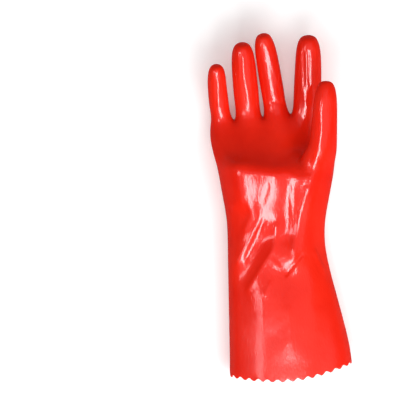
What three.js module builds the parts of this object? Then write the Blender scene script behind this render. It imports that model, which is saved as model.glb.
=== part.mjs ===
// A PVC coated gauntlet work glove for the right hand, lying on its back with the palm up.
// The real glove is dipped in one piece over a hand shaped former, so it is one shell: an open cuff with a
// wavy pinked edge, a wrist with soft folds, a cupped palm, four curled fingers and a raised thumb.
// Millimetres. X runs across the hand towards the thumb, Y from the cuff's mouth to the fingertips, and Z up
// from the floor. The origin is on the floor under the middle of the glove.

import * as THREE from 'three';

// Lengths along the glove
const CUFF_LENGTH = 138; // mouth to wrist
const HAND_LENGTH = 120; // wrist to the crotches of the fingers
const FINGER_LENGTH = 92; // middle finger, crotch to tip
const THUMB_LENGTH = 93; // thumb root to tip

// Widths and heights, as the glove lies
const CUFF_WIDTH = 123;
const CUFF_HEIGHT = 50;
const WRIST_WIDTH = 98;
const WRIST_HEIGHT = 43;
const HEEL_WIDTH = 119; // across the heel of the hand and the thumb's root
const HEEL_HEIGHT = 56;
const PALM_WIDTH = 113; // across the knuckles
const KNUCKLE_HEIGHT = 29;
const FINGER_WIDTH = 24;
const THUMB_WIDTH = 26.5;

// How the cuff and the palm lean away from the wrist's middle line
const CUFF_DRIFT = 14.5; // mouth, towards the thumb
const PALM_DRIFT = -11; // knuckles, towards the little finger
const WRIST_MIDDLE = -3;

// Details
const WALL = 1.3; // coating and its cotton backing together
const FOLD_DEPTH = 5; // deepest fold
const CROTCH_DEPTH = 4; // how far the web between two fingers dips under the palm's face
const KNUCKLE_SLANT = 9; // how much lower the little finger starts than the index finger
const MOUTH_SLANT = 14; // how much shorter the cuff is on its thumb side
const MOUTH_BOW = 11; // how far the middle of the cut edge runs past its corners
const TOOTH_PITCH = 9.8; // of the waves of the pinked edge
const TOOTH_DEPTH = 3;
const EDGE_BAND = 3; // plain band above the bottoms of the waves
const FLOOR_BITE = 2.5; // how far the unloaded back would reach under the floor, which flattens it

// Resolution: the sides of the control cage's faces round a finger, which the smoothing step halves, and of
// the faces along the pinked edge.
const CAGE_STEP = 9.4;
const EDGE_STEP = 1.2;

// Shape of a cross section: a squared arch over the palm side and a flatter one on the back.
const ARCH_POWER = 2.3;
const SIDE_HEIGHT = 0.4; // height of the widest line, as a share of the section's height
const OUTER_COLUMN = 0.93; // place of the column beside each side line, as a share of the half width

// Cuff sections from the mouth to the wrist. along is a share of CUFF_LENGTH. flare goes from the wrist's
// width, height and middle at 0 to the mouth's at 1.
const CUFF_SECTIONS = [
  { along: 0.0, flare: 1.0 },
  { along: 0.1, flare: 0.95 },
  { along: 0.25, flare: 0.78 },
  { along: 0.42, flare: 0.58 },
  { along: 0.58, flare: 0.38 },
  { along: 0.74, flare: 0.19 },
  { along: 0.88, flare: 0.06 },
];

// Hand sections from the wrist to the row where the thumb parts from the palm. along is a share of
// HAND_LENGTH. spread and swell go from the wrist's width and height at 0 to the heel's at 1. root turns
// columns of the shell over to the thumb.
const HEEL_SECTIONS = [
  { along: 0.0, spread: 0.0, swell: 0.0, root: 0.0 },
  { along: 0.15, spread: 0.08, swell: 0.22, root: 0.2 },
  { along: 0.3, spread: 0.42, swell: 0.62, root: 0.5 },
  { along: 0.44, spread: 0.72, swell: 0.95, root: 0.8 },
  { along: 0.57, spread: 0.98, swell: 1.0, root: 1.0 },
];

// Palm sections from the thumb's web to the knuckles. drift goes from the heel's middle at 0 to the
// knuckles' at 1, and fall from the heel's height at 0 to the knuckles' at 1. fan is how far the columns have
// spread from their places at the heel to the fingers. tuck is how far the palm sinks under the thumb, which
// is to its side line at 1. dip is the share of CROTCH_DEPTH that the lines between the fingers have sunk by
// there.
const PALM_SECTIONS = [
  { along: 0.7, drift: 0.9, fall: 0.4, fan: 0.35, tuck: 1.0, dip: 0.0 },
  { along: 0.78, drift: 0.95, fall: 0.64, fan: 0.7, tuck: 0.85, dip: 0.0 },
  { along: 0.88, drift: 1.0, fall: 0.86, fan: 1.0, tuck: 0.5, dip: 0.3 },
  { along: 0.98, drift: 1.0, fall: 1.0, fan: 1.0, tuck: 0.1, dip: 1.0 },
];

// Angles round the section where the thumb's columns start and end, at the wrist and at the thumb's root.
const THUMB_FRONT = { wrist: 45, root: 66 };
const THUMB_BACK = { wrist: -45, root: -25 };

// The web between thumb and palm: across is a share of HEEL_WIDTH from the wrist's middle line, along a share
// of HAND_LENGTH, and height a share of HEEL_HEIGHT.
const THUMB_WEB = { across: 0.21, along: 0.66, height: 0.6 };

// Fingers from the little finger to the index finger. base is a share of PALM_WIDTH, length of
// FINGER_LENGTH, and width of FINGER_WIDTH, which narrows by taper towards the tip. lean (towards the thumb)
// and rise (off the floor) are degrees at the root and at the tip.
const FINGERS = [
  { base: 0.235, length: 0.71, width: 0.83, taper: 0.06, lean: [-12, 0], rise: [10, 30] },
  { base: 0.25, length: 0.92, width: 1.05, taper: 0.04, lean: [-6, -5], rise: [10, 27] },
  { base: 0.25, length: 1.0, width: 0.95, taper: 0.02, lean: [-9, -11], rise: [9, 24] },
  { base: 0.265, length: 0.94, width: 1.16, taper: 0.08, lean: [5, -2], rise: [8, 22] },
];

// The thumb, in the same columns. twist turns its rings, in degrees, so that they face its web.
const THUMB = { taper: 0.15, twist: 15, lean: [3, 2], rise: [43, 0] };

// Sections: thickness is a share of the width, and a higher power makes the section squarer. turn rolls the
// section, in degrees, towards the little finger's side.
const FINGER_SECTION = { thickness: 0.94, power: 2, turn: 0 };
const THUMB_SECTION = { thickness: 0.72, power: 3, turn: -20 };

// Girth of a finger, and of the thumb, from the root to the tip, as shares of its length and width.
const FINGER_PROFILE = [
  { along: 0.16, girth: 0.96 },
  { along: 0.34, girth: 1.04 },
  { along: 0.54, girth: 1.02 },
  { along: 0.74, girth: 1.0 },
  { along: 0.9, girth: 0.9 },
  { along: 0.995, girth: 0.55 },
];
const THUMB_PROFILE = [
  { along: 0.16, girth: 1.08 },
  { along: 0.34, girth: 1.06 },
  { along: 0.54, girth: 1.03 },
  { along: 0.74, girth: 1.0 },
  { along: 0.9, girth: 0.9 },
  { along: 0.995, girth: 0.55 },
];

// Columns of the cage round a finger. Each finger has a span of them on its front and its back, between two
// side lines. The thumb's come out of the sleeve.
const FINGER_COLUMNS = 4 * Math.round((Math.PI * FINGER_WIDTH) / CAGE_STEP / 4);
const FINGER_SPAN = FINGER_COLUMNS / 2 - 2;
const PALM_COLUMNS = 2 * (FINGERS.length * FINGER_SPAN + 2);
const THUMB_SPAN = FINGER_COLUMNS - 2;
const SLEEVE_COLUMNS = PALM_COLUMNS - 2 + THUMB_SPAN;

// Folds and dents of the palm side, each along a line of points. across is a share of WRIST_WIDTH from the
// wrist's middle line, and along a share of the glove from its mouth to the crotches. width is a share of
// WRIST_WIDTH, and lift of FOLD_DEPTH: a ridge above 0 and a valley below it.
const FOLDS = [
  { name: 'wrist valley', across: [-0.1, -0.32], along: [0.57, 0.37], width: 0.09, lift: -0.8 },
  { name: 'its outer ridge', across: [-0.14, -0.39], along: [0.64, 0.44], width: 0.07, lift: 0.5 },
  { name: 'its inner ridge', across: [0.0, -0.03, -0.26], along: [0.58, 0.49, 0.35], width: 0.08, lift: 0.5 },
  { name: 'thumb root ridge', across: [0.43, 0.3, 0.19], along: [0.86, 0.68, 0.44], width: 0.1, lift: 0.9 },
  { name: 'heel valley', across: [0.16, 0.08], along: [0.73, 0.54], width: 0.09, lift: -0.6 },
  { name: 'wrist crease', across: [0.26, 0.1], along: [0.46, 0.39], width: 0.07, lift: -0.4 },
  { name: 'cuff ridge', across: [-0.13, -0.14], along: [0.32, 0.0], width: 0.12, lift: 0.3 },
  { name: 'cuff valley', across: [-0.34, -0.32], along: [0.29, 0.0], width: 0.14, lift: -0.4 },
  { name: 'faint cuff ridge', across: [0.12, 0.14], along: [0.26, 0.1], width: 0.08, lift: 0.3 },
  { name: 'thumb side valley', across: [0.48, 0.5], along: [0.33, 0.0], width: 0.09, lift: -0.3 },
  { name: 'thumb side dent', across: [0.46, 0.52], along: [0.53, 0.42], width: 0.09, lift: -0.5 },
  { name: 'cup of the palm', across: [-0.1, 0.24], along: [0.92, 0.88], width: 0.2, lift: -0.3 },
];

const GLOVE_TO_CROTCH = CUFF_LENGTH + HAND_LENGTH;
const degrees = THREE.MathUtils.degToRad;
const mix = THREE.MathUtils.lerp;

function average(points) {
  const sum = new THREE.Vector3();
  for (const p of points) sum.add(p);
  return sum.divideScalar(points.length);
}

// The control cage: its points, and faces whose corners run counter-clockwise seen from outside.
const cage = { points: [], faces: [] };

function addPoints(points) {
  return points.map((p) => cage.points.push(p) - 1);
}

// Joins two rings of as many points with a band of four-sided faces.
function bridge(lower, upper) {
  lower.forEach((a, k) => {
    const next = (k + 1) % lower.length;
    cage.faces.push([a, lower[next], upper[next], upper[k]]);
  });
}

// A point of a section at an angle round it: 180 is the little finger side, 90 the palm, 0 the thumb side.
function sectionPoint(section, angle) {
  const across = Math.cos(degrees(angle));
  return pointAcross(section, across, Math.sin(degrees(angle)) >= 0);
}

function pointAcross({ y, middle, half, top }, across, palmSide) {
  const share = Math.min(1, Math.abs(across));
  const arch = (1 - share ** ARCH_POWER) ** (1 / ARCH_POWER);
  const side = top * SIDE_HEIGHT;
  const z = palmSide ? mix(side, top, arch) : mix(side, -FLOOR_BITE, arch);
  return new THREE.Vector3(middle + half * across, y(across), z);
}

// Rows of the sleeve. Each ring starts at the little finger side line and runs over the palm side.
function sleeveRing(section, root) {
  const front = mix(THUMB_FRONT.wrist, THUMB_FRONT.root, root);
  const back = mix(THUMB_BACK.wrist, THUMB_BACK.root, root);
  const spans = [
    { from: 180, to: front, columns: (SLEEVE_COLUMNS - THUMB_SPAN) / 2 },
    { from: front, to: back, columns: THUMB_SPAN },
    { from: back, to: -180, columns: (SLEEVE_COLUMNS - THUMB_SPAN) / 2 },
  ];
  const ring = [];
  for (const { from, to, columns } of spans)
    for (let k = 0; k < columns; k++) ring.push(sectionPoint(section, mix(from, to, k / columns)));
  return addPoints(ring);
}

const cuffRings = CUFF_SECTIONS.map(({ along, flare }) => {
  const slant = (across) => (MOUTH_SLANT * (1 + across)) / 2;
  const bow = (across) => MOUTH_BOW * (1 - across ** 2);
  const section = {
    y: (across) => along * CUFF_LENGTH + (1 - along) * (EDGE_BAND + slant(across) - bow(across)),
    middle: WRIST_MIDDLE + CUFF_DRIFT * flare,
    half: mix(WRIST_WIDTH, CUFF_WIDTH, flare) / 2,
    top: mix(WRIST_HEIGHT, CUFF_HEIGHT, flare),
  };
  return sleeveRing(section, 0);
});

const heelRings = HEEL_SECTIONS.map(({ along, spread, swell, root }) => {
  const section = {
    y: () => CUFF_LENGTH + along * HAND_LENGTH,
    middle: WRIST_MIDDLE,
    half: mix(WRIST_WIDTH, HEEL_WIDTH, spread) / 2,
    top: mix(WRIST_HEIGHT, HEEL_HEIGHT, swell),
  };
  return sleeveRing(section, root);
});

const sleeveRings = [...cuffRings, ...heelRings];
sleeveRings.slice(1).forEach((ring, k) => bridge(sleeveRings[k], ring));

// The last sleeve ring parts into the palm and the thumb, which share the web between them.
const lastRing = sleeveRings.at(-1);
const frontCorner = (SLEEVE_COLUMNS - THUMB_SPAN) / 2;
const backCorner = frontCorner + THUMB_SPAN;
const [web] = addPoints([
  new THREE.Vector3(
    WRIST_MIDDLE + THUMB_WEB.across * HEEL_WIDTH,
    CUFF_LENGTH + THUMB_WEB.along * HAND_LENGTH,
    THUMB_WEB.height * HEEL_HEIGHT,
  ),
]);
const thumbRing = [...lastRing.slice(frontCorner, backCorner + 1), web];
const palmStart = [...lastRing.slice(0, frontCorner + 1), web, ...lastRing.slice(backCorner)];

// Shares across the knuckles of the palm's front columns, with the outer ones moved in.
function knuckleShares() {
  const shares = [-1];
  for (const { base } of FINGERS)
    for (let k = 1; k <= FINGER_SPAN; k++) shares.push(shares.at(-1) + (2 * base) / FINGER_SPAN);
  shares[0] = -OUTER_COLUMN;
  shares[shares.length - 1] = OUTER_COLUMN;
  return shares;
}

// Palm rings start at the little finger side line too. Their index finger side line starts from the web.
const shares = knuckleShares();
const lastShares = [-1, ...shares, 1, ...shares.toReversed()];
const palmRings = PALM_SECTIONS.map(({ along, drift, fall, fan, tuck, dip }) => {
  const section = {
    y: (across) => CUFF_LENGTH + along * HAND_LENGTH - (KNUCKLE_SLANT * (1 - across)) / 2,
    middle: WRIST_MIDDLE + PALM_DRIFT * drift,
    half: PALM_WIDTH / 2,
    top: mix(HEEL_HEIGHT, KNUCKLE_HEIGHT, fall),
  };
  const side = section.top * SIDE_HEIGHT;
  const ring = lastShares.map((share, k) => {
    const straight = (cage.points[palmStart[k]].x - section.middle) / section.half;
    const across = mix(THREE.MathUtils.clamp(straight, -1, 1), share, fan);
    const point = pointAcross(section, across, k <= PALM_COLUMNS / 2);
    if (k <= PALM_COLUMNS / 2) {
      point.z = mix(point.z, side, tuck * Math.max(0, across) ** 1.5);
    }
    return point;
  });
  for (let n = 1; n < FINGERS.length; n++) ring[1 + FINGER_SPAN * n].z -= dip * CROTCH_DEPTH;
  return addPoints(ring);
});
[palmStart, ...palmRings].slice(1).forEach((ring, k) => bridge([palmStart, ...palmRings][k], ring));

// A web point joins each pair of the knuckle ring's corners between two fingers through the hand.
const knuckles = palmRings.at(-1);
const frontAt = (n) => knuckles[1 + FINGER_SPAN * n];
const backAt = (n) => knuckles[(PALM_COLUMNS - 1 - FINGER_SPAN * n) % PALM_COLUMNS];
const webs = FINGERS.slice(1).map((finger, k) => {
  const front = cage.points[frontAt(k + 1)];
  const back = cage.points[backAt(k + 1)];
  const [middle] = addPoints([average([front, back])]);
  cage.points[middle].y += CROTCH_DEPTH;
  return middle;
});
const sideLines = [knuckles[0], ...webs, knuckles[PALM_COLUMNS / 2]];

function fingerRoot(n) {
  const left = 1 + FINGER_SPAN * n;
  const front = knuckles.slice(left, left + FINGER_SPAN + 1);
  const right = PALM_COLUMNS - left;
  const back = knuckles.slice(right - FINGER_SPAN, right + 1);
  return [...front, sideLines[n + 1], ...back, sideLines[n]];
}

// Smoothing draws a ring in towards its middle. This is how much larger its cage has to be.
const RING_ALLOWANCE = 3 / (2 + Math.cos((2 * Math.PI) / FINGER_COLUMNS));

// A finger is rings along a bent line from its root ring, closed by four faces round its tip.
function growFinger(root, finger, profile, { thickness, power, turn }, length, width) {
  const start = average(root.map((v) => cage.points[v]));
  const steps = [{ along: 0 }, ...profile, { along: 1 }];
  const centre = start.clone();
  let ring = root;
  steps.slice(1).forEach(({ along, girth }, k) => {
    const middle = (steps[k].along + along) / 2;
    const lean = degrees(mix(...finger.lean, middle));
    const rise = degrees(mix(...finger.rise, middle));
    const ahead = new THREE.Vector3(
      Math.sin(lean) * Math.cos(rise),
      Math.cos(lean) * Math.cos(rise),
      Math.sin(rise),
    );
    const right = new THREE.Vector3().crossVectors(ahead, new THREE.Vector3(0, 0, 1)).normalize();
    const up = new THREE.Vector3().crossVectors(right, ahead);
    centre.addScaledVector(ahead, (along - steps[k].along) * length);
    if (!girth) {
      closeTip(ring, centre.clone());
      return;
    }
    const radius = (width / 2) * girth * (1 - finger.taper * along) * RING_ALLOWANCE;
    const next = addPoints(
      root.map((v, j) => {
        const angle = degrees(180 + (finger.twist ?? 0) - turn - (360 / FINGER_COLUMNS) * (j + 1));
        const across = Math.cos(angle);
        const over = Math.sin(angle);
        const reach = radius / (Math.abs(across) ** power + Math.abs(over) ** power) ** (1 / power);
        const point = new THREE.Vector2(reach * across, reach * thickness * over);
        point.rotateAround(new THREE.Vector2(), degrees(turn));
        return centre.clone().addScaledVector(right, point.x).addScaledVector(up, point.y);
      }),
    );
    bridge(ring, next);
    ring = next;
  });
}

function closeTip(ring, point) {
  const [tip] = addPoints([point]);
  for (let k = 0; k < ring.length; k += 2)
    cage.faces.push([tip, ring[k], ring[k + 1], ring[(k + 2) % ring.length]]);
}

FINGERS.forEach((finger, n) => {
  const length = finger.length * FINGER_LENGTH;
  const width = finger.width * FINGER_WIDTH;
  growFinger(fingerRoot(n), finger, FINGER_PROFILE, FINGER_SECTION, length, width);
});
growFinger(thumbRing, THUMB, THUMB_PROFILE, THUMB_SECTION, THUMB_LENGTH, THUMB_WIDTH);

// One Catmull-Clark step. An open edge stays an open, smooth edge. edgePoint gives the new point on an edge.
function subdivide({ points, faces }) {
  const centres = faces.map((f) => average(f.map((v) => points[v])));
  const edges = new Map();
  const keyOf = (a, b) => Math.min(a, b) + ' ' + Math.max(a, b);
  const around = points.map(() => ({ centres: [], middles: [], open: [] }));
  faces.forEach((f, n) =>
    f.forEach((a, k) => {
      const b = f[(k + 1) % f.length];
      const key = keyOf(a, b);
      if (!edges.has(key)) edges.set(key, { a, b, beside: [], index: points.length + edges.size });
      edges.get(key).beside.push(centres[n]);
      around[a].centres.push(centres[n]);
    }),
  );
  const edgePoints = [...edges.values()].map(({ a, b, beside }) => {
    const middle = average([points[a], points[b]]);
    for (const v of [a, b]) around[v].middles.push(middle);
    if (beside.length > 1) return average([points[a], points[b], ...beside]);
    for (const v of [a, b]) around[v].open.push(middle);
    return middle;
  });
  const moved = points.map((p, v) => {
    const { centres: near, middles, open } = around[v];
    if (open.length) return average([p, average(open)]);
    const n = near.length;
    return average(near)
      .addScaledVector(average(middles), 2)
      .addScaledVector(p, n - 3)
      .divideScalar(n);
  });
  const edgePoint = (a, b) => edges.get(keyOf(a, b)).index;
  const firstCentre = points.length + edges.size;
  return {
    points: [...moved, ...edgePoints, ...centres],
    faces: faces.flatMap((f, n) =>
      f.map((v, k) => [
        v,
        edgePoint(v, f[(k + 1) % f.length]),
        firstCentre + n,
        edgePoint(f[(k + f.length - 1) % f.length], v),
      ]),
    ),
    edgePoint,
  };
}

// Average direction of the faces round each point, larger faces counting for more.
function normalsOf({ points, faces }) {
  const normals = points.map(() => new THREE.Vector3());
  for (const [a, b, c, d] of faces) {
    const across = points[c].clone().sub(points[a]).cross(points[d].clone().sub(points[b]));
    for (const v of [a, b, c, d]) normals[v].add(across);
  }
  return normals.map((n) => n.normalize());
}

// How far the folds lift or press a point of the palm side.
function foldLift(point) {
  const flat = new THREE.Vector3(point.x, point.y, 0);
  let sum = 0;
  for (const { across, along, width, lift } of FOLDS) {
    const line = across.map(
      (share, k) => new THREE.Vector3(WRIST_MIDDLE + share * WRIST_WIDTH, along[k] * GLOVE_TO_CROTCH, 0),
    );
    const distances = line.slice(1).map((end, k) => {
      const nearest = new THREE.Line3(line[k], end).closestPointToPoint(flat, true, new THREE.Vector3());
      return nearest.distanceTo(flat);
    });
    sum += lift * FOLD_DEPTH * Math.exp(-((Math.min(...distances) / (width * WRIST_WIDTH)) ** 2));
  }
  return sum;
}

const skin = subdivide(cage);
const smoothNormals = normalsOf(skin);
const facing = smoothNormals.map((n) => THREE.MathUtils.smoothstep(n.z, 0, 0.6));
const lifts = skin.points.map((p, v) => facing[v] * foldLift(p));

// Each four-sided face is cut in two along the diagonal that follows the folds better.
const halves = skin.faces.flatMap(([a, b, c, d]) => {
  const corners = [a, b, c, d];
  const centre = average(corners.map((v) => skin.points[v]));
  const share = corners.reduce((sum, v) => sum + facing[v] / 4, 0);
  const lift = share * foldLift(centre);
  const first = Math.abs((lifts[a] + lifts[c]) / 2 - lift);
  const second = Math.abs((lifts[b] + lifts[d]) / 2 - lift);
  return first <= second ? [[a, b, c], [a, c, d]] : [[a, b, d], [b, c, d]];
});
skin.points.forEach((p, v) => p.addScaledVector(smoothNormals[v], lifts[v]));

// The floor flattens the back. The inner wall follows the outer one a wall's thickness inside it.
for (const p of skin.points) p.z = Math.max(p.z, 0);
const outward = normalsOf(skin);
const outerPoints = skin.points;
const innerPoints = skin.points.map((p, v) => {
  const inner = p.clone().addScaledVector(outward[v], -WALL);
  inner.z = Math.max(inner.z, WALL);
  return inner;
});

// The mouth's row of points, and the pinked edge beyond it. The shears cut both layers of the flattened mouth
// at once, so the palm side and the back have as many waves. places tells where the edge's points lie along
// the row, as shares of its columns.
const mouthCage = cuffRings[0];
const mouth = mouthCage.flatMap((v, k) => [v, skin.edgePoint(v, mouthCage[(k + 1) % mouthCage.length])]);
const cuffAxis = new THREE.Vector3(CUFF_DRIFT, -CUFF_LENGTH, 0).normalize();
const closedCurve = (wall) => new THREE.CatmullRomCurve3(mouth.map((v) => wall[v]), true);
const cut = closedCurve(outerPoints);
const teeth = 2 * Math.round(cut.getLength() / TOOTH_PITCH / 2);
const edgeCount = teeth * Math.round(TOOTH_PITCH / EDGE_STEP);
const lengths = cut.getLengths(edgeCount);
const palmShare = lengths[edgeCount / 2] / lengths[edgeCount];
const places = Array.from({ length: edgeCount }, (_, j) => {
  const turn = (2 * j) / edgeCount;
  const share = turn < 1 ? turn * palmShare : mix(palmShare, 1, turn - 1);
  return cut.getUtoTmapping(share);
});

function pinkedEdge(wall) {
  const curve = closedCurve(wall);
  const floor = Math.min(...mouth.map((v) => wall[v].z));
  return places.map((place, j) => {
    const wave = (1 - Math.cos((2 * Math.PI * teeth * j) / edgeCount)) / 2;
    const point = curve.getPoint(place).addScaledVector(cuffAxis, EDGE_BAND + TOOTH_DEPTH * wave);
    point.z = Math.max(point.z, floor);
    return point;
  });
}

// Every triangle of the shell: both walls, the two edge bands and the cut face between them.
const vertices = [];
const triangles = [];
const store = (points) => points.map((p) => vertices.push(p) - 1);
const outer = store(outerPoints);
const inner = store(innerPoints);
const outerEdge = store(pinkedEdge(outerPoints));
const innerEdge = store(pinkedEdge(innerPoints));

for (const [a, b, c] of halves) {
  triangles.push([outer[a], outer[b], outer[c]]);
  triangles.push([inner[a], inner[c], inner[b]]);
}
// Joins the mouth's row to the finer row of the pinked edge, always from the row that lags behind.
function zip(row, edge, flip) {
  let i = 0;
  let j = 0;
  while (i < row.length || j < edge.length) {
    const from = row[i % row.length];
    const to = edge[j % edge.length];
    const rowLags = i + 0.5 < (places[j] ?? 2) * row.length;
    const third = rowLags ? row[++i % row.length] : edge[++j % edge.length];
    triangles.push(flip ? [from, third, to] : [from, to, third]);
  }
}
const rowOf = (wall) => mouth.map((v) => wall[v]);
zip(rowOf(outer), outerEdge, false);
zip(rowOf(inner), innerEdge, true);
outerEdge.forEach((a, k) => {
  const next = (k + 1) % edgeCount;
  triangles.push([a, innerEdge[next], outerEdge[next]], [a, innerEdge[k], innerEdge[next]]);
});

const shellGeometry = new THREE.BufferGeometry();
shellGeometry.setAttribute(
  'position',
  new THREE.Float32BufferAttribute(vertices.flatMap((p) => p.toArray()), 3),
);
shellGeometry.setIndex(triangles.flat());

// The origin goes to the floor under the middle of the glove.
shellGeometry.computeBoundingBox();
const middle = shellGeometry.boundingBox.getCenter(new THREE.Vector3());
shellGeometry.translate(-middle.x, -middle.y, -shellGeometry.boundingBox.min.z);
shellGeometry.computeVertexNormals();

const coatedPvc = new THREE.MeshStandardMaterial({ color: 0xe3261a, roughness: 0.22, metalness: 0 });
const shell = new THREE.Mesh(shellGeometry, coatedPvc);
shell.name = 'glove_shell';

const glove = new THREE.Group();
glove.add(shell);

export default glove;
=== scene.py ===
import math
from collections import namedtuple

import bmesh
import bpy
import numpy as np
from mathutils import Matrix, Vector, kdtree


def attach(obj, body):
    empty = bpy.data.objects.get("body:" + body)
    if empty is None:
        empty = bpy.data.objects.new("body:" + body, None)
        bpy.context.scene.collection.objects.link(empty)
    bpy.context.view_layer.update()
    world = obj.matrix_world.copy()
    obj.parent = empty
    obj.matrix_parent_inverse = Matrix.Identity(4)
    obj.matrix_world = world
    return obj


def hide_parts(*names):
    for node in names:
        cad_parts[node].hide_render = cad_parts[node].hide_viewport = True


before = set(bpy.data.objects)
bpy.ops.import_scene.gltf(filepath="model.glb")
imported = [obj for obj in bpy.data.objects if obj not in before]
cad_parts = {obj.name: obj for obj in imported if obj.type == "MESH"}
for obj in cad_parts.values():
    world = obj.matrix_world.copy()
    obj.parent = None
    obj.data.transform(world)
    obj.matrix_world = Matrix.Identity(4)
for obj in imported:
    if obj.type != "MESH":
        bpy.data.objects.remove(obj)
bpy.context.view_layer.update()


# The glove is one dipped shell: liquid PVC, cured on a hand shaped former over a thin cotton liner that stays
# bonded inside. It is 1.3 mm thick all over, and its mouth is cut with pinking shears.
MM = 0.001
MERGE_DISTANCE = 0.02 * MM
MOUTH_BELOW = -115 * MM
CUT_ANGLE = math.radians(48)
CUT_CREASE = 0.8
SUBDIVISIONS = 2


def activate(piece):
    bpy.ops.object.select_all(action="DESELECT")
    piece.select_set(True)
    bpy.context.view_layer.objects.active = piece


glove = bpy.data.objects.new("glove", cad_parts["glove_shell"].data.copy())
glove.data.materials.clear()
bpy.context.scene.collection.objects.link(glove)
activate(glove)
bpy.ops.object.mode_set(mode="EDIT")
bpy.ops.mesh.select_all(action="SELECT")
bpy.ops.mesh.remove_doubles(threshold=MERGE_DISTANCE)
bpy.ops.mesh.tris_convert_to_quads(
    face_threshold=math.pi, shape_threshold=math.pi, topology_influence=1.5
)
bpy.ops.object.mode_set(mode="OBJECT")

# Coating, lining and cut edge are told apart by walking over the faces from the top of the palm: only the two
# sharp edges of the cut part them.
COATING, LINING, CUT = range(3)
shape = bmesh.new()
shape.from_mesh(glove.data)
crease = shape.edges.layers.float.new("crease_edge")
cut_edges = set()
for edge in shape.edges:
    middle = (edge.verts[0].co + edge.verts[1].co) / 2
    if middle.y < MOUTH_BELOW and edge.calc_face_angle(0) > CUT_ANGLE:
        cut_edges.add(edge)
        edge[crease] = CUT_CREASE
top_face = max(shape.faces, key=lambda face: face.calc_center_median().z)
coating = {top_face}
waiting = [top_face]
while waiting:
    for edge in waiting.pop().edges:
        if edge in cut_edges:
            continue
        for face in edge.link_faces:
            if face not in coating:
                coating.add(face)
                waiting.append(face)
for face in shape.faces:
    if face in coating:
        face.material_index = COATING
    elif sum(edge in cut_edges for edge in face.edges) > 1:
        face.material_index = CUT
    else:
        face.material_index = LINING
shape.to_mesh(glove.data)
shape.free()

smoothing = glove.modifiers.new("smoothing", "SUBSURF")
smoothing.levels = smoothing.render_levels = SUBDIVISIONS
activate(glove)
bpy.ops.object.modifier_apply(modifier="smoothing")


def wall(index):
    return {v for polygon in glove.data.polygons if polygon.material_index == index for v in polygon.vertices}


def tree_of(vertices):
    tree = kdtree.KDTree(len(vertices))
    for v in vertices:
        tree.insert(glove.data.vertices[v].co, v)
    tree.balance()
    return tree


def relax(chosen, repeat):
    bpy.ops.object.mode_set(mode="EDIT")
    bpy.ops.mesh.select_mode(type="VERT")
    bpy.ops.mesh.select_all(action="DESELECT")
    bpy.ops.object.mode_set(mode="OBJECT")
    for vertex in glove.data.vertices:
        vertex.select = chosen(vertex.co)
    bpy.ops.object.mode_set(mode="EDIT")
    bpy.ops.mesh.vertices_smooth(factor=0.5, repeat=repeat)
    bpy.ops.object.mode_set(mode="OBJECT")


# The liquid levels itself all over, apart from the cut edge. It leaves a soft web in the corner between the
# thumb's root and the palm.
CUT_KEPT_CLEAR = 6 * MM
WEB_PLACE = Vector((22 * MM, 50 * MM))
WEB_REACH = 20 * MM
WEB_ABOVE = 12 * MM
cut_edge = tree_of(wall(CUT))
relax(lambda place: cut_edge.find(place)[2] > CUT_KEPT_CLEAR, repeat=10)
relax(lambda place: (place.xy - WEB_PLACE).length < WEB_REACH and place.z > WEB_ABOVE, repeat=25)

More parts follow.
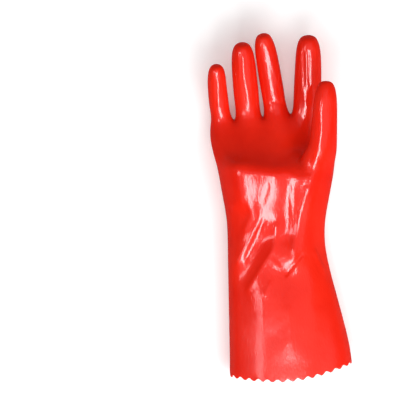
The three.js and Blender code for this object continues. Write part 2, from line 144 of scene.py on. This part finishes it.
# Soft folds and finer creases of the palm side, each along a line of points, in millimetres: a ridge where
# lift is above 0 and a valley below it. The lining goes with the coating it is bonded to.
Fold = namedtuple("Fold", "name line width lift")
FOLDS = (
    Fold("wrist ridge", ((-20, -12), (-31, -34), (-42, -54)), 2.2, 0.8),
    Fold("hooked wrist ridge", ((-31, 3), (-28, -8), (-35, -22)), 2.6, 0.7),
    Fold("valley's rim", ((-4, -18), (-6, -40), (-18, -60), (-32, -82)), 2.4, 0.8),
    Fold("between the wrist ridges", ((-17, -14), (-33, -51)), 2.5, -0.8),
    Fold("heel's edge", ((-50, 42), (-30, 38), (-8, 33)), 8.0, 1.8),
    Fold("heel's shoulder", ((-42, 38), (-38, 10)), 10.0, 3.0),
    Fold("swell above the wrist", ((-14, -19), (-2, -19)), 8.0, 1.5),
    Fold("heel crease", ((-12, 21), (-17, 4)), 2.0, -0.5),
    Fold("straight heel ridge", ((10, 20), (12, -8), (13, -44)), 1.6, 0.5),
    Fold("thumb root ridge", ((28, 18), (20, -5), (15, -35), (14, -52)), 2.2, 0.8),
    Fold("thumb ridge", ((42, 108), (40, 94), (41, 75), (38, 57), (34, 35), (28, 18)), 2.4, 0.7),
    Fold("wrist crease", ((22, -47), (6, -66)), 1.8, -1.3),
    Fold("crease's rim", ((24, -51), (10, -67)), 2.0, 0.4),
    Fold("thumb side fold", ((35, -45), (44, -63)), 2.4, 0.9),
    Fold("short wrist fold", ((-8, -52), (-1, -60)), 2.2, 0.4),
    Fold("short cuff fold", ((-10, -76), (-15, -86)), 2.2, 0.6),
    Fold("cuff ridge", ((-17, -88), (-17, -128)), 3.0, 0.3),
    Fold("flat end of the cuff ridge", ((-17, -132), (-16, -180)), 14.0, -1.2),
    Fold("faint cuff ridge", ((8, -102), (9, -134)), 3.0, 0.35),
    Fold("little finger side bump", ((-52, 5), (-46, 1)), 3.0, 0.6),
    Fold("palm's edge", ((-64, 70), (-52, 48)), 2.6, 0.6),
    Fold("middle joint crease", ((-9, 107), (4, 103)), 1.8, -0.8),
    Fold("middle finger ridge", ((-12, 157), (-3, 128), (3, 116), (2, 103)), 1.6, 0.5),
    Fold("second middle ridge", ((-8, 156), (1, 128)), 1.5, 0.35),
    Fold("ring finger ridge", ((-37, 150), (-36, 132), (-30, 103)), 1.7, 0.5),
    Fold("second ring ridge", ((-41, 150), (-41, 128)), 1.5, 0.3),
    Fold("index ridge", ((21, 155), (22, 122), (26, 104)), 1.6, 0.5),
    Fold("second index ridge", ((26, 155), (27, 124)), 1.5, 0.45),
    Fold("third index ridge", ((31, 153), (32, 124)), 1.5, 0.4),
    Fold("index valley", ((23.7, 154), (24.5, 122)), 1.3, -0.5),
    Fold("second index valley", ((28.7, 154), (29.5, 122)), 1.3, -0.5),
    Fold("index root dent", ((31, 116), (30, 104)), 3.0, -0.5),
    Fold("little finger ridge", ((-61, 126), (-61, 102)), 1.6, 0.45),
)


def distance_to(line, places):
    nearest = np.full(len(places), np.inf)
    for start, end in zip(line, line[1:]):
        start, end = np.array(start) * MM, np.array(end) * MM
        step = end - start
        along = np.clip((places - start) @ step / (step @ step), 0, 1)
        nearest = np.minimum(nearest, np.linalg.norm(places - start - along[:, None] * step, axis=1))
    return nearest


mesh = glove.data
count = len(mesh.vertices)
points, normals = np.empty(count * 3), np.empty(count * 3)
mesh.vertices.foreach_get("co", points)
mesh.vertices.foreach_get("normal", normals)
points, normals = points.reshape(-1, 3), normals.reshape(-1, 3)
lift = np.zeros(count)
for fold in FOLDS:
    lift += fold.lift * MM * np.exp(-((distance_to(fold.line, points[:, :2]) / (fold.width * MM)) ** 2))
palm_side = np.clip(2 * normals[:, 2], 0, 1)
shift = normals * (lift * palm_side)[:, None]

# The web's corner is drawn a little into the palm and towards the fingers, most of all where it is high up.
WEB_SHIFT = (-4 * MM, 3 * MM, 0.0)
WEB_CORE = 0.6 * WEB_REACH
WEB_FROM, WEB_RISE = 18 * MM, 15 * MM
off_centre = np.linalg.norm(points[:, :2] - WEB_PLACE, axis=1) / WEB_CORE
raised = np.clip((points[:, 2] - WEB_FROM) / WEB_RISE, 0, 1)
shift += (np.exp(-(off_centre**2)) * raised)[:, None] * WEB_SHIFT

outside = wall(COATING)
outer_points = tree_of(outside)
for vertex in mesh.vertices:
    if vertex.index not in outside:
        shift[vertex.index] = shift[outer_points.find(vertex.co)[1]]
mesh.vertices.foreach_set("co", (points + shift).ravel())
mesh.update()
for polygon in mesh.polygons:
    polygon.use_smooth = True

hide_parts("glove_shell")
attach(glove, "root")


class Grain:
    """A number or colour that varies over the surface, and the nodes that work it out."""

    def __init__(self, tree, socket):
        self.tree = tree
        self.socket = socket

    def node(self, kind, settings=None, **values):
        made = self.tree.nodes.new(kind)
        for name, value in (settings or {}).items():
            if name == "stops":
                ramp = made.color_ramp
                while len(ramp.elements) < len(value):
                    ramp.elements.new(0.5)
                for stop, (place, colour) in zip(ramp.elements, value):
                    stop.position = place
                    stop.color = colour
            else:
                setattr(made, name, value)
        for name, value in values.items():
            key = int(name[1:]) if name[0] == "_" else name.replace("_", " ")
            if isinstance(value, Grain):
                self.tree.links.new(value.socket, made.inputs[key])
            else:
                made.inputs[key].default_value = value
        return made

    def maths(self, operation, other=0.0, swapped=False):
        first, second = (other, self) if swapped else (self, other)
        made = self.node("ShaderNodeMath", {"operation": operation}, _0=first, _1=second)
        return Grain(self.tree, made.outputs[0])

    def __add__(self, other):
        return self.maths("ADD", other)

    __radd__ = __add__

    def __sub__(self, other):
        return self.maths("SUBTRACT", other)

    def __rsub__(self, other):
        return self.maths("SUBTRACT", other, swapped=True)

    def __mul__(self, other):
        return self.maths("MULTIPLY", other)

    __rmul__ = __mul__


def finish(name):
    made = bpy.data.materials.new(name)
    made.use_nodes = True
    tree = made.node_tree
    tree.nodes.clear()
    place = Grain(tree, tree.nodes.new("ShaderNodeTexCoord").outputs["Object"])
    surface = tree.nodes.new("ShaderNodeBsdfPrincipled")
    output = tree.nodes.new("ShaderNodeOutputMaterial")
    tree.links.new(surface.outputs[0], output.inputs[0])
    return made, place, surface


def noise(place, scale, detail=2.0):
    made = place.node("ShaderNodeTexNoise", Vector=place, Scale=scale, Detail=detail, Roughness=0.5)
    return Grain(place.tree, made.outputs[0])


# The coating is glossy, slightly uneven red PVC. The dip leaves it wavy, with a fine grain where the knitted
# liner shows through, and it is a little duller at the cuff than on the hand.
WAVE_SCALE, BLOTCH_SCALE, STITCH_SCALE = 55.0, 22.0, 620.0
STITCH_STRETCH = (1, 0.4, 1)
DEEP_RED, BRIGHT_RED = (0.80, 0.011, 0.002, 1), (0.88, 0.020, 0.006, 1)
CUFF_FADE_START, CUFF_FADE_LENGTH = -66.667 * MM, 55.556 * MM
coated_pvc, place, surface = finish("coated_pvc")
waves = noise(place, WAVE_SCALE, detail=1.0)
blotches = noise(place, BLOTCH_SCALE, detail=3.0)
stretched = Grain(place.tree, place.node("ShaderNodeMapping", Vector=place, Scale=STITCH_STRETCH).outputs[0])
knit_print = noise(stretched, STITCH_SCALE, detail=1.0)
along = Grain(place.tree, place.node("ShaderNodeSeparateXYZ", Vector=place).outputs["Y"])
cuff = (CUFF_FADE_START - along) * (1 / CUFF_FADE_LENGTH)
cuff = cuff.maths("MAXIMUM", 0.0).maths("MINIMUM", 1.0)
ramp = place.node("ShaderNodeValToRGB", {"stops": [(0.3, DEEP_RED), (0.7, BRIGHT_RED)]}, Fac=blotches)
bump = place.node("ShaderNodeBump", Height=waves * 0.9 + knit_print * 0.36, Strength=0.25, Distance=2 * MM)
tree = coated_pvc.node_tree
tree.links.new(ramp.outputs[0], surface.inputs["Base Color"])
tree.links.new(bump.outputs[0], surface.inputs["Normal"])
tree.links.new((knit_print * 0.08 + cuff * 0.09 + 0.12).socket, surface.inputs["Roughness"])
surface.inputs["IOR"].default_value = 1.34
surface.inputs["Coat Weight"].default_value = 0.05
surface.inputs["Coat Roughness"].default_value = 0.08

# The lining is thin unbleached cotton, knitted on a round machine. Its ribs run along the glove, 1.5 mm apart,
# and its rows across it, 1.2 mm apart.
RIB_SCALE, ROW_SCALE, FLECK_SCALE = 4200.0, 5200.0, 90.0
SHADED_COTTON, PALE_COTTON = (0.50, 0.45, 0.36, 1), (0.74, 0.69, 0.58, 1)
cotton_lining, place, surface = finish("cotton_lining")
parts = place.node("ShaderNodeSeparateXYZ", Vector=place)
ribs = (Grain(place.tree, parts.outputs["X"]) * RIB_SCALE).maths("SINE")
rows = (Grain(place.tree, parts.outputs["Y"]) * ROW_SCALE).maths("SINE")
loops = ribs * rows * 0.5 + 0.5
# The colour is painted darker where the knit's bump is low, as painted shade in the hollows between the loops,
# with random flecks over it.
ramp = place.node(
    "ShaderNodeValToRGB",
    {"stops": [(0.2, SHADED_COTTON), (0.8, PALE_COTTON)]},
    Fac=loops * 0.6 + noise(place, FLECK_SCALE) * 0.4,
)
bump = place.node("ShaderNodeBump", Height=loops, Strength=0.5, Distance=0.4 * MM)
tree = cotton_lining.node_tree
tree.links.new(ramp.outputs[0], surface.inputs["Base Color"])
tree.links.new(bump.outputs[0], surface.inputs["Normal"])
surface.inputs["Roughness"].default_value = 0.9

# The cut edge shows the section of the coating: the same red PVC, but dull and a little paler, because the
# shears leave no skin on it.
CUT_GRAIN_SCALE = 900.0
CUT_RED, PALE_CUT_RED = (0.62, 0.035, 0.02, 1), (0.78, 0.07, 0.045, 1)
cut_pvc, place, surface = finish("cut_pvc")
ramp = place.node(
    "ShaderNodeValToRGB",
    {"stops": [(0.35, CUT_RED), (0.65, PALE_CUT_RED)]},
    Fac=noise(place, CUT_GRAIN_SCALE),
)
cut_pvc.node_tree.links.new(ramp.outputs[0], surface.inputs["Base Color"])
surface.inputs["Roughness"].default_value = 0.55

for material in (coated_pvc, cotton_lining, cut_pvc):
    glove.data.materials.append(material)


# The glove lies on a plain matt white surface. It doesn't show in the gloss of the glove's sides, which stay
# as red as the rest.
bpy.ops.mesh.primitive_plane_add(size=6.0, location=(0, 0, 0))
floor = bpy.context.active_object
floor.name = "floor"
floor.visible_glossy = False
white, place, surface = finish("white_surface")
surface.inputs["Base Color"].default_value = (0.92, 0.92, 0.92, 1)
surface.inputs["Roughness"].default_value = 0.9
surface.inputs["Specular IOR Level"].default_value = 0.1
surface.inputs["Emission Color"].default_value = (1, 1, 1, 1)
surface.inputs["Emission Strength"].default_value = 0.2
floor.data.materials.append(white)


# Studio light: three soft boxes give the gloss, a bright one and a wide faint one over the cuff's end and a
# narrow one at the little finger's side. Four others and a dim pale room give the even light.
def soft_box(name, tilt, bearing, distance, width, height, radiance, seen_in):
    """A soft box at a tilt from straight above and a bearing, in degrees, that faces the glove."""
    lamp = bpy.data.lights.new(name, "AREA")
    lamp.shape = "RECTANGLE"
    lamp.size = width
    lamp.size_y = height
    lamp.energy = radiance * width * height * math.pi
    lamp.color = (1, 0.96, 1) if seen_in == "gloss" else (1, 1, 1)
    box = bpy.data.objects.new(name, lamp)
    bpy.context.scene.collection.objects.link(box)
    tilt, bearing = math.radians(tilt), math.radians(bearing)
    towards = Vector(
        (math.sin(tilt) * math.cos(bearing), math.sin(tilt) * math.sin(bearing), math.cos(tilt))
    )
    box.location = towards * distance
    box.rotation_mode = "QUATERNION"
    box.rotation_quaternion = towards.to_track_quat("Z", "Y")
    box.visible_camera = False
    box.visible_glossy = seen_in == "gloss"
    box.visible_diffuse = seen_in == "diffuse"


soft_box("cuff_end_light", 32, -88, 1.6, 0.6, 1.3, 25.0, "gloss")
soft_box("left_light", 35, 190, 1.6, 0.25, 0.5, 13.0, "gloss")
soft_box("cuff_end_sheen", 20, -80, 2.0, 3.6, 2.6, 0.85, "gloss")
soft_box("cuff_end_fill", 45, -80, 2.0, 1.6, 1.2, 4.5, "diffuse")
soft_box("thumb_side_fill", 50, -25, 2.0, 1.6, 1.6, 2.4, "diffuse")
soft_box("left_fill", 45, 185, 2.0, 1.6, 1.6, 1.0, "diffuse")
soft_box("fill_light", 0, 0, 2.5, 4.0, 4.0, 0.5, "diffuse")

room = bpy.data.worlds.new("room")
room.use_nodes = True
room.node_tree.nodes["Background"].inputs["Color"].default_value = (1, 1, 1, 1)
room.node_tree.nodes["Background"].inputs["Strength"].default_value = 0.12
bpy.context.scene.world = room
bpy.context.scene.view_settings.view_transform = "Standard"

# The camera looks straight down from far off, as for a catalogue. Its frame is 400 mm wide about halfway up
# the cuff, and the glove lies in the frame's right half.
FRAME_WIDTH = 400 * MM
FRAME_MIDDLE = (-79.5 * MM, 7.5 * MM)
FRAME_HEIGHT_OVER_FLOOR = 22 * MM
camera_data = bpy.data.cameras.new("camera")
camera_data.lens = 400
camera_data.sensor_width = 36
camera_data.clip_end = 20
camera = bpy.data.objects.new("camera", camera_data)
bpy.context.scene.collection.objects.link(camera)
distance = FRAME_WIDTH * camera_data.lens / camera_data.sensor_width
camera.location = (*FRAME_MIDDLE, FRAME_HEIGHT_OVER_FLOOR + distance)
bpy.context.scene.camera = camera
